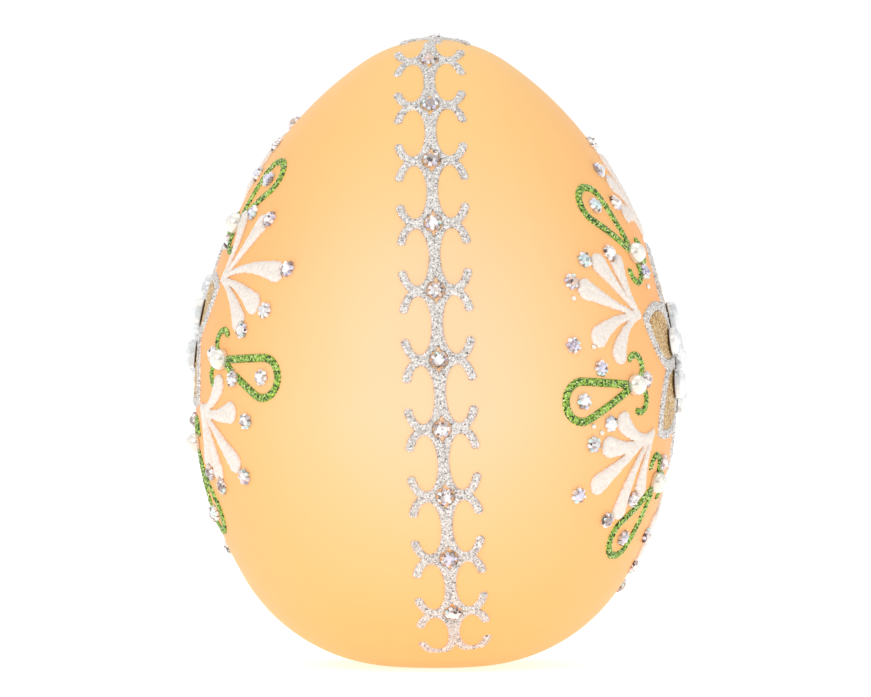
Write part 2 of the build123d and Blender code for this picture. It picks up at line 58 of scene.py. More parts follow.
# Hand-blown glass is slightly uneven: waves round the egg and along it, which die out towards
# its foot and its pole. Each wave: lobes round the egg, pitch along it, share, phase.
WAVES = ((2, 19.0, 1.0, 0.0), (3, -13.0, 0.6, 1.0))
WAVE_MEAN = 0.01
WAVE_SWING = 0.006
WAVE_FOOT = 6.0  # height at which the waves begin
WAVE_RISE = 20.0  # height over which they grow
WAVE_POLE = 12.0  # distance from the axis at which they are full

# --- raised work ---
BURIED = 0.03  # how far the back of a raised piece lies in the lacquer
EDGE_STEP = 0.06  # spacing of the points that stand for a CAD outline
SAFE_SHARE = 0.15  # least share of a grid step between a grid point and the outline
OUTWARD = 0.6  # least cosine between a CAD face and the glass for the face to be an outer one
# Grid step of each kind of raised mesh.
BAND_STEP = 0.2
LOBE_LINE_STEP = 0.22
LOBE_STEP = 0.3
LOOP_STEP = 0.21
FAN_STEP = 0.25
# Rounded section of each kind of glitter: half width and height.
SILVER_SECTION = (1.1, 0.62)
GOLD_SECTION = (0.9, 0.36)
GREEN_SECTION = (1.0, 0.6)
LEAST_GLITTER = 0.04  # height of glitter at the edge of a line
LINE_WAVER = 0.06  # share by which the height of a line wavers
LINE_WAVER_SIZE = 3.0
FLAKE = 0.45  # glitter flake size
FLAKE_LIFT = 0.07
FLAKE_TILT = 0.28
FLAKE_FADE = 0.3  # width at a line's edge over which the flakes flatten
PAINT_SECTION = (1.9, 0.92)
LEAST_PAINT = 0.05
PAINT_LUMPS = ((0.07, 1.5), (0.03, 0.6))  # share of the height, and size
PAINT_HOLLOW = 0.16  # depth of the sunk middle of a broad plume
PAINT_HOLLOW_START = 1.5  # distance from the edge at which it starts to sink
PAINT_HOLLOW_WIDTH = 1.0  # distance over which it sinks
PAINT_RAGGED = 0.16  # how far the outline of a plume strays
PAINT_RAGGED_SIZE = 1.1
PAINT_RAGGED_SEED = 5

# --- stones and beads ---
PEARL_R = 2.5
PEARL_CENTRE = 0.65
MICRO_PEARL_R = 0.65
CRYSTAL_R = 2.05
CRYSTAL_CORE_R = 1.35
CRYSTAL_LOBES = 7
CRYSTAL_LOBE_R = 0.62
CRYSTAL_HEIGHT = 1.5
LOBE_HEIGHT = 0.95
# Rings of a small stone, from its back to its table: shares of its radius and its height.
SMALL_STONE_RINGS = ((0.92, 0.0), (1.0, 0.35), (0.86, 0.72), (0.5, 1.0))
TABLE_SHIFT = 0.09  # how far off centre a small stone's table is, in radii
TABLE_TILT = 0.16
# Size of the patches that sparkle by themselves: each is tipped its own way and painted its own
# brightness, a painted glint or shade.
GLINT = 0.34
CRYSTAL_CHIP = 0.75
OPAL_CHIP = 2.2
# The flower's stones stand on glue, this far over the glass.
STONE_LIFT = 0.7
CENTRE_R = 3.3
CENTRE_SIDES = 12
PETAL_R = 3.5
PETAL_REACH = 5.6  # from the middle of a petal's round end to its point
PETAL_SIDES = 20
# Rings of the flower's stones, from the back to the table: share of the outline, and height.
# Their backs reach down below their seats, towards the glitter; painted nearly black, they are the
# painted shadow under each stone.
CENTRE_RINGS = ((0.96, -0.09), (1.0, 0.15), (1.0, 1.5), (0.82, 2.24), (0.5, 2.8))
PETAL_RINGS = ((0.9, -0.3), (1.0, 0.1), (1.0, 1.3), (0.86, 1.982), (0.6, 2.4))

SIDES = ("right", "left")

# --- stage, in metres ---
EGG_MIDDLE = EGG_HEIGHT / 2 * MM
CAMERA_DISTANCE = 1.2
CAMERA_LENS = 206.8
CAMERA_SHIFT = (0.0006, 0.0047)
FLOOR_REACH = 30.0
# Name, place, size and power of each lamp.
LAMPS = (
    ("key_light", (-0.7, -1.1, 0.75), 0.8, 4.4),
    ("fill_light", (0.9, -0.8, 0.4), 1.0, 1.7),
    ("top_light", (0.0, 0.1, 1.3), 1.2, 2.4),
)
WHITE = (1.0, 1.0, 1.0, 1.0)


def outline_arcs():
    """Centre r, centre z, radius, first and last heading of each arc of the outline."""
    arcs = []
    r = 0.0
    z = EGG_HEIGHT
    heading = 0.0
    for radius, turn in UPPER_ARCS:
        centre_r = r - radius * math.sin(heading)
        centre_z = z - radius * math.cos(heading)
        last = heading + math.radians(turn)
        arcs.append((centre_r, centre_z, radius, heading, last))
        r = centre_r + radius * math.sin(last)
        z = centre_z + radius * math.cos(last)
        heading = last
    belly_r = r - BELLY_RADIUS * math.sin(heading)
    belly_z = z - BELLY_RADIUS * math.cos(heading)
    side = belly_r - RING_OUTER_R
    heel = (side**2 + belly_z**2 - BELLY_RADIUS**2) / (2 * (belly_z - BELLY_RADIUS))
    meeting = math.atan2(RING_OUTER_R - belly_r, heel - belly_z)
    arcs.append((belly_r, belly_z, BELLY_RADIUS, heading, meeting))
    arcs.append((RING_OUTER_R, heel, heel, meeting, math.pi))
    return arcs


OUTLINE = outline_arcs()


def off_glass(points):
    """Signed distance of each point from the outside of the glass, and the normal there."""
    across = np.hypot(points[:, 0], points[:, 1])
    distance = np.zeros(len(points))
    heading = np.full(len(points), math.pi)
    settled = np.zeros(len(points), bool)
    for centre_r, centre_z, radius, _, last in OUTLINE:
        out = across - centre_r
        up = points[:, 2] - centre_z
        angle = np.arctan2(out, up)
        here = ~settled & (angle <= last)
        distance[here] = np.hypot(out, up)[here] - radius
        heading[here] = angle[here]
        settled |= here
    safe = np.maximum(across, 1e-9)
    level = points[:, :2] / safe[:, None] * np.sin(heading)[:, None]
    return distance, np.column_stack([level, np.cos(heading)])


def travel_of(points):
    """Distance over the glass from the pole to each point."""
    across = np.hypot(points[:, 0], points[:, 1])
    travel = np.zeros(len(points))
    settled = np.zeros(len(points), bool)
    gone = 0.0
    for centre_r, centre_z, radius, first, last in OUTLINE:
        angle = np.arctan2(across - centre_r, points[:, 2] - centre_z)
        here = ~settled & (angle <= last)
        travel[here] = gone + radius * (angle[here] - first)
        settled |= here
        gone += radius * (last - first)
    return travel


def outline_at(travel):
    """Radius, height and heading of the outline at distances over the glass from the pole."""
    r = np.zeros_like(travel)
    z = np.zeros_like(travel)
    heading = np.zeros_like(travel)
    gone = 0.0
    for centre_r, centre_z, radius, first, last in OUTLINE:
        here = travel >= gone
        angle = first + (travel[here] - gone) / radius
        r[here] = centre_r + radius * np.sin(angle)
        z[here] = centre_z + radius * np.cos(angle)
        heading[here] = angle
        gone += radius * (last - first)
    return r, z, heading


def unit(vector):
    return vector / np.linalg.norm(vector)


def drop_onto_glass(points, direction, rounds=7, least_slope=0.2):
    """Slides points along a direction until they lie on the glass."""
    for _ in range(rounds):
        distance, normal = off_glass(points)
        slope = np.maximum(normal @ direction, least_slope)
        points = points - direction * (distance / slope)[:, None]
    return points


# --- charts of the glass ---
class TangentChart:
    """Flat coordinates round one spot on the glass, as seen straight on."""

    def __init__(self, points):
        middle = points.mean(axis=0)[None, :]
        _, normal = off_glass(middle)
        self.origin = drop_onto_glass(middle, normal[0])[0]
        self.normal = unit(normal[0])
        level = np.array([-self.normal[1], self.normal[0], 0.0])
        self.x = unit(level) if np.linalg.norm(level) > 1e-3 else np.array([1.0, 0.0, 0.0])
        self.y = np.cross(self.normal, self.x)

    def flatten(self, points):
        away = points - self.origin
        return np.column_stack([away @ self.x, away @ self.y])

    def onto_glass(self, flat):
        lifted = self.origin + flat[:, :1] * self.x + flat[:, 1:] * self.y
        return drop_onto_glass(lifted, self.normal)


class BandChart:
    """Coordinates of a band down one face: across it, and over the glass from the pole."""

    def __init__(self, facing):
        self.facing = facing  # -1 for the front, +1 for the back

    def flatten(self, points):
        travel = travel_of(points)
        turn = np.arctan2(points[:, 0], self.facing * points[:, 1])
        r, _, _ = outline_at(travel)
        return np.column_stack([r * turn, travel])

    def onto_glass(self, flat):
        r, z, _ = outline_at(flat[:, 1])
        turn = flat[:, 0] / np.maximum(r, 1e-6)
        return np.column_stack([r * np.sin(turn), self.facing * r * np.cos(turn), z])


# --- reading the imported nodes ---
def node_mesh(node):
    """Welded corner points, in millimetres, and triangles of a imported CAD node."""
    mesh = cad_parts[node].data
    mesh.calc_loop_triangles()
    corners = np.zeros(len(mesh.vertices) * 3)
    mesh.vertices.foreach_get("co", corners)
    faces = np.zeros(len(mesh.loop_triangles) * 3, np.int64)
    mesh.loop_triangles.foreach_get("vertices", faces)
    corners = corners.reshape(-1, 3) / MM
    in_microns = np.round(corners * 1000)
    _, first, welded = np.unique(in_microns, axis=0, return_index=True, return_inverse=True)
    faces = welded.reshape(-1)[faces].reshape(-1, 3)
    a, b, c = faces.T
    whole = (a != b) & (b != c) & (a != c)
    return corners[first], faces[whole]


def separate_solids(node):
    """The corner points of each solid in a node, in a fixed order."""
    corners, faces = node_mesh(node)
    label = np.arange(len(corners))
    while True:
        lowest = label[faces].min(axis=1)
        before = label.copy()
        for column in range(3):
            np.minimum.at(label, faces[:, column], lowest)
        if np.array_equal(before, label):
            break
    return [corners[label == value] for value in np.unique(label)]


def top_outline(node):
    """Segments, as point pairs, that bound the outer face of a raised CAD node."""
    corners, faces = node_mesh(node)
    height, normal = off_glass(corners)
    a, b, c = (corners[faces[:, column]] for column in range(3))
    face_normal = np.cross(b - a, c - a)
    face_normal /= np.maximum(np.linalg.norm(face_normal, axis=1), 1e-12)[:, None]
    outward = (face_normal * normal[faces[:, 0]]).sum(axis=1) > OUTWARD
    high = (height[faces] > 0.5 * height.max()).all(axis=1)
    top = faces[outward & high]
    edges = np.concatenate([top[:, [0, 1]], top[:, [1, 2]], top[:, [2, 0]]])
    ordered = np.sort(edges, axis=1)
    _, index, count = np.unique(ordered, axis=0, return_index=True, return_counts=True)
    rim = edges[index[count == 1]]
    lifted = corners - normal * height[:, None]
    return lifted[rim[:, 0]], lifted[rim[:, 1]]


# --- raised meshes ---
def inside_outline(start, end, columns, rows):
    """Which grid points lie inside the outline, by counting its crossings along each row."""
    inside = np.zeros((len(rows), len(columns)), bool)
    low = np.minimum(start[:, 1], end[:, 1])
    high = np.maximum(start[:, 1], end[:, 1])
    for index, row in enumerate(rows):
        met = (low <= row) & (high > row)
        if met.any():
            share = (row - start[met, 1]) / (end[met, 1] - start[met, 1])
            crossing = np.sort(start[met, 0] + share * (end[met, 0] - start[met, 0]))
            inside[index] = np.searchsorted(crossing, columns) % 2 == 1
    return inside


def edge_points(start, end):
    """Points close together along every segment."""
    length = np.linalg.norm(end - start, axis=1)
    count = int(np.ceil(length.max() / EDGE_STEP)) + 1
    points = [start + share * (end - start) for share in np.linspace(0.0, 1.0, count)]
    return np.unique(np.round(np.concatenate(points), 3), axis=0)


def distance_inside(surface, inside, rim):
    """Signed distance of grid points from the outline, measured in space."""
    tree = kdtree.KDTree(len(rim))
    for index, point in enumerate(rim):
        tree.insert(point, index)
    tree.balance()
    distance = np.array([tree.find(point)[2] for point in surface])
    return np.where(inside.ravel(), distance, -distance)


def clip_triangles(flat, field, triangles):
    """Keeps the part of a triangle grid where the field is positive.

    Returns flat points, field values, triangles, and which points lie on the cut edge.
    """
    inside = field > 0
    count = inside[triangles].sum(axis=1)
    kept = [triangles[count == 3]]
    cut_edges = []
    pending = []
    for wanted in (1, 2):
        part = triangles[count == wanted]
        odd = inside[part] if wanted == 1 else ~inside[part]
        turn = odd.argmax(axis=1)
        part = np.take_along_axis(part, (turn[:, None] + np.arange(3)) % 3, axis=1)
        pending.append(part)
        cut_edges += [part[:, [0, 1]], part[:, [0, 2]]]
    keys = np.sort(np.concatenate(cut_edges), axis=1)
    unique, where = np.unique(keys, axis=0, return_inverse=True)
    where = where.reshape(-1)
    first = len(flat)
    share = field[unique[:, 0]] / (field[unique[:, 0]] - field[unique[:, 1]])
    cuts = flat[unique[:, 0]] + share[:, None] * (flat[unique[:, 1]] - flat[unique[:, 0]])
    lone, pair = pending
    split = np.cumsum([len(lone), len(lone), len(pair), len(pair)])
    lone_b, lone_c, pair_b, pair_c, _ = np.split(where + first, split)
    kept.append(np.column_stack([lone[:, 0], lone_b, lone_c]))
    kept.append(np.column_stack([pair[:, 1], pair[:, 2], pair_c]))
    kept.append(np.column_stack([pair[:, 1], pair_c, pair_b]))
    faces = np.concatenate(kept)
    points = np.concatenate([flat, cuts])
    values = np.concatenate([field, np.zeros(len(cuts))])
    used, faces = np.unique(faces, return_inverse=True)
    return points[used], values[used], faces.reshape(-1, 3), used >= first


def flake_heights(flat, seed):
    """Glitter flakes: each point takes the height and tilt of the flake it belongs to."""
    rng = np.random.default_rng(seed)
    cell = np.floor(flat / FLAKE).astype(int)
    low = cell.min(axis=0) - 1
    size = cell.max(axis=0) - low + 2
    jitter = rng.random((size[0], size[1], 2))
    tilt = rng.normal(0.0, FLAKE_TILT, (size[0], size[1], 2))
    lift = rng.random((size[0], size[1])) * FLAKE_LIFT
    nearest = np.full(len(flat), np.inf)
    height = np.zeros(len(flat))
    for step_x in (-1, 0, 1):
        for step_y in (-1, 0, 1):
            i = np.clip(cell[:, 0] - low[0] + step_x, 0, size[0] - 1)
            j = np.clip(cell[:, 1] - low[1] + step_y, 0, size[1] - 1)
            seat = np.column_stack([i + low[0], j + low[1]]) + jitter[i, j]
            away = flat - seat * FLAKE
            distance = (away**2).sum(axis=1)
            closer = distance < nearest
            nearest[closer] = distance[closer]
            height[closer] = (lift[i, j] + (tilt[i, j] * away).sum(axis=1))[closer]
    return height


def smooth_noise(flat, size, seed, waves=9):
    """Soft bumps of about a given size, mostly between -1 and 1."""
    rng = np.random.default_rng(seed)
    total = np.zeros(len(flat))
    for _ in range(waves):
        angle = rng.random() * 2 * math.pi
        pitch = size * (0.7 + 0.9 * rng.random())
        phase = rng.random() * 2 * math.pi
        along = flat[:, 0] * math.cos(angle) + flat[:, 1] * math.sin(angle)
        total += np.sin(along * 2 * math.pi / pitch + phase)
    return total / waves * 1.8


def raised_piece(name, node, chart, step, height_of, material, flat_shaded, slot, ragged=0.0):
    """A raised piece grown on a CAD node's outline, closed underneath, standing for the node."""
    points, depth, faces, rim = cut_grid(*top_outline(node), chart, step, ragged)
    base = chart.onto_glass(points)
    _, normal = off_glass(base)
    if chart_is_mirrored(base, faces, normal):
        faces = faces[:, ::-1]
    height = np.where(rim, -BURIED, height_of(points, depth))
    corners, triangles = closed_blanket(base, normal, height, faces, rim)
    cover = np.concatenate([height, np.full(len(corners) - len(base), height.max())])
    piece = mesh_object(name, corners, triangles, material, not flat_shaded)
    set_attribute(piece, "cover", cover)
    return adopt(piece, slot, node)


def cut_grid(start, end, chart, step, ragged):
    """A triangle grid cut to an outline: flat points, distances inside it, triangles, rim."""
    flat_start = chart.flatten(start)
    flat_end = chart.flatten(end)
    low = np.minimum(flat_start.min(axis=0), flat_end.min(axis=0)) - 2 * step
    high = np.maximum(flat_start.max(axis=0), flat_end.max(axis=0)) + 2 * step
    columns = np.arange(low[0], high[0], step)
    rows = np.arange(low[1], high[1], step)
    inside = inside_outline(flat_start, flat_end, columns, rows)
    flat = np.stack(np.meshgrid(columns, rows), axis=-1).reshape(-1, 2)
    near = grown(inside).ravel()
    surface = chart.onto_glass(flat[near])
    field = np.full(len(flat), -step)
    field[near] = distance_inside(surface, inside.ravel()[near], edge_points(start, end))
    field[near] += ragged * smooth_noise(flat[near], PAINT_RAGGED_SIZE, PAINT_RAGGED_SEED)
    least = SAFE_SHARE * step
    field = np.where(field > 0, np.maximum(field, least), np.minimum(field, -least))
    return clip_triangles(flat, field, grid_triangles(len(columns), len(rows)))


def closed_blanket(base, normal, height, faces, rim):
    """Corners and triangles of a raised top and its underside, which share their rim."""
    top = base + normal * height[:, None]
    inner = np.where(~rim)[0]
    bottom = base[inner] - normal[inner] * BURIED
    under = np.arange(len(base))
    under[inner] = len(base) + np.arange(len(inner))
    triangles = np.concatenate([faces, under[faces][:, ::-1]])
    # A triangle whose three points all lie on the rim would be doubled by its own underside.
    shown = ~rim[faces].all(axis=1)
    return np.concatenate([top, bottom]), triangles[np.concatenate([shown, shown])]


def grown(mask):
    """The mask with one more cell on every side."""
    wide = np.pad(mask, 1)
    tall, broad = mask.shape
    out = np.zeros_like(mask)
    for i in range(3):
        for j in range(3):
            out |= wide[i : i + tall, j : j + broad]
    return out


def grid_triangles(columns, rows):
    """Two triangles per grid square, the diagonal changing from square to square."""
    i, j = np.meshgrid(np.arange(columns - 1), np.arange(rows - 1))
    i = i.ravel()
    j = j.ravel()
    a = j * columns + i
    b = a + 1
    c = a + columns
    d = c + 1
    even = ((i + j) % 2 == 0)[:, None]
    first = np.where(even, np.column_stack([a, b, d]), np.column_stack([a, b, c]))
    second = np.where(even, np.column_stack([a, d, c]), np.column_stack([b, d, c]))
    return np.concatenate([first, second])


def chart_is_mirrored(base, faces, normal):
    a, b, c = (base[faces[:, column]] for column in range(3))
    facing = (np.cross(b - a, c - a) * normal[faces[:, 0]]).sum()
    return facing < 0


def mesh_object(name, corners, triangles, material, smooth):
    mesh = bpy.data.meshes.new(name)
    mesh.vertices.add(len(corners))
    mesh.vertices.foreach_set("co", (np.asarray(corners) * MM).astype(np.float32).ravel())
    count = len(triangles)
    mesh.loops.add(count * 3)
    mesh.loops.foreach_set("vertex_index", np.asarray(triangles).astype(np.int32).ravel())
    mesh.polygons.add(count)
    mesh.polygons.foreach_set("loop_start", np.arange(0, count * 3, 3, dtype=np.int32))
    mesh.polygons.foreach_set("use_smooth", np.full(count, smooth))
    mesh.update(calc_edges=True)
    mesh.validate()
    mesh.materials.append(material)
    piece = bpy.data.objects.new(name, mesh)
    bpy.context.scene.collection.objects.link(piece)
    return piece


def adopt(piece, slot, *nodes):
    """A piece takes the place of CAD nodes and rides on the egg."""
    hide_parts(*nodes)
    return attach(piece, "root")


def bead_profile(depth, half_width, height):
    """Cross-section of a squeezed line of glue: round shoulders and a rounded top."""
    share = np.clip(depth / half_width, 0.0, 1.0)
    return height * np.sqrt(1.0 - (1.0 - share) ** 2)


def glitter_heights(section, seed):
    """Height of a line of glitter glue at flat points and their depths inside its outline."""

    def heights(flat, depth):
        bead = bead_profile(depth, *section)
        waver = LINE_WAVER * smooth_noise(flat, LINE_WAVER_SIZE, seed)
        flakes = flake_heights(flat, seed) * np.clip(depth / FLAKE_FADE, 0.0, 1.0)
        return np.maximum(bead + waver * bead + flakes - FLAKE_LIFT / 2, LEAST_GLITTER)

    return heights


def paint_heights(seed):
    """Height of a painted plume at flat points and their depths inside its outline."""

    def heights(flat, depth):
        swell = bead_profile(depth, *PAINT_SECTION)
        lumps = np.zeros(len(flat))
        for index, (share, size) in enumerate(PAINT_LUMPS):
            lumps += share * smooth_noise(flat, size, seed + index)
        sunk = np.clip((depth - PAINT_HOLLOW_START) / PAINT_HOLLOW_WIDTH, 0.0, 1.0)
        return np.maximum(swell * (1.0 + lumps) - PAINT_HOLLOW * sunk, LEAST_PAINT)

    return heights


# --- the glass ---
def glass_profile():
    """The shell's closed section: outside from the pole down, the floor, inside back up."""
    outside = []
    inside = []
    for centre_r, centre_z, radius, first, last in OUTLINE:
        for heading in np.linspace(first, last, ARC_STEPS)[:-1]:
            out = math.sin(heading)
            up = math.cos(heading)
            outside.append((centre_r + radius * out, centre_z + radius * up))
            inside.append((centre_r + (radius - WALL) * out, centre_z + (radius - WALL) * up))
    outside.append((RING_OUTER_R, 0.0))
    inside.append((RING_OUTER_R, WALL))
    floor_top = FLOOR[-1][1]
    clear = [(r, z) for r, z in inside if r >= RING_OUTER_R or z >= floor_top]
    return outside + list(FLOOR) + clear[::-1]


def revolve(profile, segments):
    """Corners and triangles of a closed section turned about Z; end points lie on the axis."""
    profile = np.array(profile)
    turn = np.arange(segments) * 2 * math.pi / segments
    ring = profile[1:-1]
    body = np.stack(
        [
            ring[:, :1] * np.cos(turn),
            ring[:, :1] * np.sin(turn),
            np.repeat(ring[:, 1:], segments, axis=1),
        ],
        axis=-1,
    ).reshape(-1, 3)
    ends = np.array([[0.0, 0.0, profile[0][1]], [0.0, 0.0, profile[-1][1]]])
    corners = np.concatenate([body, ends])
    here = np.arange(segments)
    after = (here + 1) % segments
    faces = []
    for index in range(len(ring) - 1):
        a = index * segments
        b = a + segments
        faces.append(np.column_stack([a + here, b + here, b + after]))
        faces.append(np.column_stack([a + here, b + after, a + after]))
    top = len(body)
    last = (len(ring) - 1) * segments
    faces.append(np.column_stack([np.full(segments, top), here, after]))
    faces.append(np.column_stack([np.full(segments, top + 1), last + after, last + here]))
    return corners, np.concatenate(faces)


def make_glass(material):
    corners, triangles = revolve(glass_profile(), GLASS_SEGMENTS)
    level = np.arctan2(corners[:, 1], corners[:, 0])
    reach = np.hypot(corners[:, 0], corners[:, 1])
    height = corners[:, 2]
    wave = np.zeros(len(corners))
    for lobes, pitch, share, phase in WAVES:
        wave += share * np.sin(lobes * level + height / pitch + phase)
    fade = np.clip((height - WAVE_FOOT) / WAVE_RISE, 0.0, 1.0) * np.clip(reach / WAVE_POLE, 0.0, 1.0)
    shift = -(WAVE_MEAN + WAVE_SWING * wave) * fade
    corners[:, :2] *= (1.0 + shift / np.maximum(reach, 1e-9))[:, None]
    piece = mesh_object("glass_egg", corners, triangles, material, True)
    piece.data.set_sharp_from_angle(angle=CREASE)
    return adopt(piece, "apricot_glass", "glass_shell")


# --- stones and beads ---
def seats(node):
    """Seat of each solid of a node: the spot on the glass, and its x, y and z axes there."""
    found = []
    for corners in separate_solids(node):
        middle = corners.mean(axis=0)[None, :]
        _, normal = off_glass(middle)
        spot = drop_onto_glass(middle, normal[0])[0]
        away = corners - spot
        flat = away - np.outer(away @ normal[0], normal[0])
        farthest = flat[np.linalg.norm(flat, axis=1).argmax()]
        x = unit(farthest)
        found.append((spot, x, np.cross(normal[0], x), normal[0]))
    return found


def stand(corners, seat, lift=0.0):
    """Corners drawn on a flat table, moved to a seat on the glass."""
    spot, x, y, z = seat
    return spot + corners[:, :1] * x + corners[:, 1:2] * y + (corners[:, 2:] + lift) * z


def joined(shapes):
    """Corners and triangles of several closed shapes put together."""
    corners = []
    triangles = []
    count = 0
    for shape_corners, shape_triangles in shapes:
        corners.append(shape_corners)
        triangles.append(shape_triangles + count)
        count += len(shape_corners)
    return np.concatenate(corners), np.concatenate(triangles)


def set_attribute(piece, name, values):
    attribute = piece.data.attributes.new(name, "FLOAT", "POINT")
    attribute.data.foreach_set("value", np.asarray(values).astype(np.float32))


def ring_points(radius, sides, height, turn=0.0):
    angle = (np.arange(sides) + turn) * 2 * math.pi / sides
    return np.column_stack([radius * np.cos(angle), radius * np.sin(angle), np.full(sides, height)])


def between(lower, upper, sides):
    """Triangles joining two rings whose points are half a step apart."""
    here = np.arange(sides)
    after = (here + 1) % sides
    return np.concatenate(
        [
            np.column_stack([lower + here, lower + after, upper + here]),
            np.column_stack([upper + here, lower + after, upper + after]),
        ]
    )


def fan_triangles(centre, ring, sides, upward):
    here = np.arange(sides)
    after = (here + 1) % sides
    pair = (here, after) if upward else (after, here)
    return np.column_stack([np.full(sides, centre), ring + pair[0], ring + pair[1]])


def cut_stone(rings):
    """A faceted stone: rings of points from its flat back up to its table, each half a step on."""
    sides = len(rings[0])
    corners = np.concatenate(rings + [rings[0].mean(axis=0)[None], rings[-1].mean(axis=0)[None]])
    faces = [between(index * sides, (index + 1) * sides, sides) for index in range(len(rings) - 1)]
    back = len(rings) * sides
    faces.append(fan_triangles(back, 0, sides, False))
    faces.append(fan_triangles(back + 1, (len(rings) - 1) * sides, sides, True))
    return corners, np.concatenate(faces)


def small_stone(radius, height, sides, rng):
    """A round faceted stone, its table a little off centre and out of level."""
    rings = []
    for index, (wide, up) in enumerate(SMALL_STONE_RINGS):
        rings.append(ring_points(radius * wide, sides, height * up, index / 2))
    shift = rng.normal(0.0, TABLE_SHIFT * radius, 2)
    tilt = rng.normal(0.0, TABLE_TILT, 2)
    table = rings[-1]
    table[:, :2] += shift
    table[:, 2] += table[:, :2] @ tilt
    return cut_stone(rings)


def crystal_shape(rng):
    """A rosette: a cut middle in a ring of small round stones, and a tint for each."""
    shapes = [small_stone(CRYSTAL_CORE_R, CRYSTAL_HEIGHT, 8, rng)]
    for index in range(CRYSTAL_LOBES):
        corners, triangles = small_stone(CRYSTAL_LOBE_R, LOBE_HEIGHT, 6, rng)
        angle = 2 * math.pi * index / CRYSTAL_LOBES
        away = CRYSTAL_R - CRYSTAL_LOBE_R
        corners = corners + np.array([away * math.cos(angle), away * math.sin(angle), 0.0])
        shapes.append((corners, triangles))
    tints = [np.full(len(corners), rng.random()) for corners, _ in shapes]
    return (*joined(shapes), np.concatenate(tints))


def centre_shape():
    """The round stone in the middle of the flower."""
    rings = []
    for index, (wide, height) in enumerate(CENTRE_RINGS):
        rings.append(ring_points(CENTRE_R * wide, CENTRE_SIDES, height, index / 2))
    return cut_stone(rings)


def pear_ring(scale, height, turn):
    """Points round a pear outline: its round end about the origin, its point on +X."""
    angle = (np.arange(PETAL_SIDES) + turn) / PETAL_SIDES * 2 * math.pi
    from_point = np.abs((angle + math.pi) % (2 * math.pi) - math.pi)
    # The flanks are straight, from the point to where they touch the round end.
    touching = math.pi / 2 - math.asin(PETAL_R / PETAL_REACH)
    along_flank = np.clip(from_point - touching, -math.pi / 2, 0.0)
    radius = np.minimum(PETAL_R / np.cos(along_flank), PETAL_REACH) * scale
    heights = np.full(PETAL_SIDES, height)
    return np.column_stack([radius * np.cos(angle), radius * np.sin(angle), heights])


def petal_shape():
    """A pear-shaped stone of the flower."""
    rings = []
    for index, (wide, height) in enumerate(PETAL_RINGS):
        rings.append(pear_ring(wide, height, index / 2))
    return cut_stone(rings)


def dome_shape(radius, centre, segments, steps):
    """A flat-backed half-round bead."""
    edge = math.acos(-centre / radius)
    profile = [(0.0, centre + radius)]
    for angle in np.linspace(0.0, edge, steps)[1:]:
        profile.append((radius * math.sin(angle), centre + radius * math.cos(angle)))
    profile.append((0.0, 0.0))
    return revolve(profile, segments)


def set_stones(name, node, shapes, material, smooth, slot, lift=0.0):
    """Stones or beads standing on their seats, as one piece that stands for one CAD node."""
    stood = []
    rise = []
    tint = []
    for shape, seat in zip(shapes, seats(node)):
        stood.append((stand(shape[0], seat, lift), shape[1]))
        rise.append(shape[0][:, 2])
        tint += shape[2:]
    piece = mesh_object(name, *joined(stood), material, smooth)
    set_attribute(piece, "rise", np.concatenate(rise))
    if tint:
        set_attribute(piece, "tint", np.concatenate(tint))
    return adopt(piece, slot, node)


def crystals(seed):
    """An endless supply of rosettes, no two the same."""
    rng = np.random.default_rng(seed)
    while True:
        yield crystal_shape(rng)


# --- materials ---
def linear(red, green, blue):
    """Screen colour, 0 to 255, as the linear colour a shader takes."""
    values = []
    for value in (red, green, blue):
        share = value / 255.0
        values.append(share / 12.92 if share <= 0.04045 else ((share + 0.055) / 1.055) ** 2.4)
    return (*values, 1.0)


class Nodes:
    """The shader nodes of a material or a world, started afresh."""

    def __init__(self, owner):
        owner.use_nodes = True
        self.tree = owner.node_tree
        self.tree.nodes.clear()

    def add(self, kind, inputs=(), **settings):
        node = self.tree.nodes.new(kind)
        for key, value in settings.items():
            setattr(node, key, value)
        for key, value in dict(inputs).items():
            socket = node.inputs[key]
            if isinstance(value, bpy.types.NodeSocket):
                self.tree.links.new(value, socket)
            else:
                socket.default_value = value
        return node

    def math(self, operation, first, second=0.0):
        return self.add("ShaderNodeMath", {0: first, 1: second}, operation=operation).outputs[0]

    def vector(self, operation, inputs, output="Vector"):
        return self.add("ShaderNodeVectorMath", inputs, operation=operation).outputs[output]

    def stretch(self, value, low, high, start=0.0, end=1.0):
        """Low to high while a value goes from start to end."""
        inputs = {"Value": value, "From Min": start, "From Max": end, "To Min": low, "To Max": high}
        return self.add("ShaderNodeMapRange", inputs).outputs["Result"]


